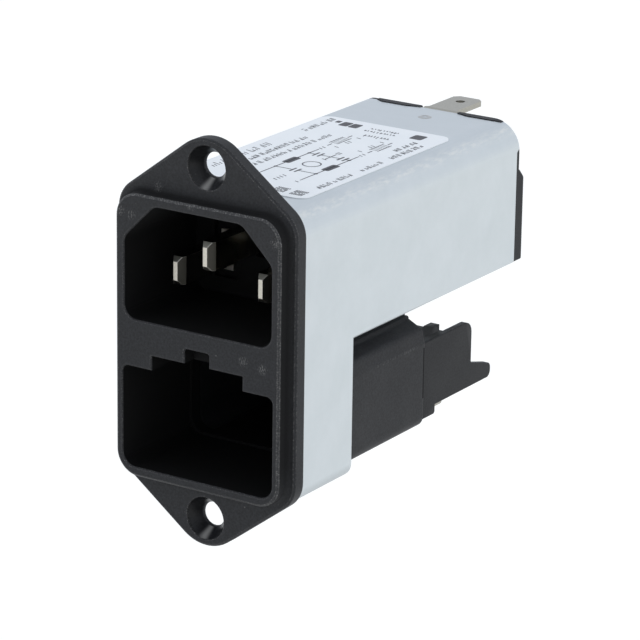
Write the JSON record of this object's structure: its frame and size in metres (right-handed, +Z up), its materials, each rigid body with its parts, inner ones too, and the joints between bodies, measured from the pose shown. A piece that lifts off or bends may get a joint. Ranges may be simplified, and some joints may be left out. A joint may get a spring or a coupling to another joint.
{
  "type": "filtered iec panel inlet",
  "caption": "Panel power inlet with flat pins in a chamfered recess, an open fuse drawer bay, screw ears and a metal line filter can behind.",
  "frame": {"origin": "on the flange's back face, midway between the two screw holes", "axes": "+Z up towards the inlet, -Y out of the front, +Y along the can to its rear, +X to the right of someone facing the front"},
  "size_m": [0.0294, 0.0727, 0.058],
  "materials": {
    "housing_black": "moulded black thermoplastic, fine matte texture",
    "can_plated": "tin-plated steel sheet, satin",
    "label_film": "printed white film",
    "pin_nickel": "nickel-plated brass",
    "tab_tinned": "tinned brass strip",
    "board": "laminate board",
    "ferrite": "sintered ferrite",
    "winding": "enamelled copper wire",
    "film_capacitor": "moulded box",
    "disc_capacitor": "dipped resin",
    "resistor": "lacquered"
  },
  "bodies": {
    "root": {"front_housing": "housing_black", "contact_carrier": "housing_black", "rear_cap": "housing_black", "metal_can": "can_plated", "rating_label": "label_film", "earth_pin": "pin_nickel", "line_pin": "pin_nickel", "neutral_pin": "pin_nickel", "earth_tab": "tab_tinned", "load_tab_line": "tab_tinned", "load_tab_neutral": "tab_tinned", "fuse_clip_line_front": "tab_tinned", "fuse_clip_line_rear": "tab_tinned", "fuse_clip_neutral_front": "tab_tinned", "fuse_clip_neutral_rear": "tab_tinned", "earth_strap": "tab_tinned", "filter_board": "board", "choke_core": "ferrite", "choke_winding_line": "winding", "choke_winding_neutral": "winding", "x_capacitor": "film_capacitor", "y_capacitor_line": "disc_capacitor", "y_capacitor_neutral": "disc_capacitor", "bleed_resistor": "resistor"}
  },
  "joints": []
}
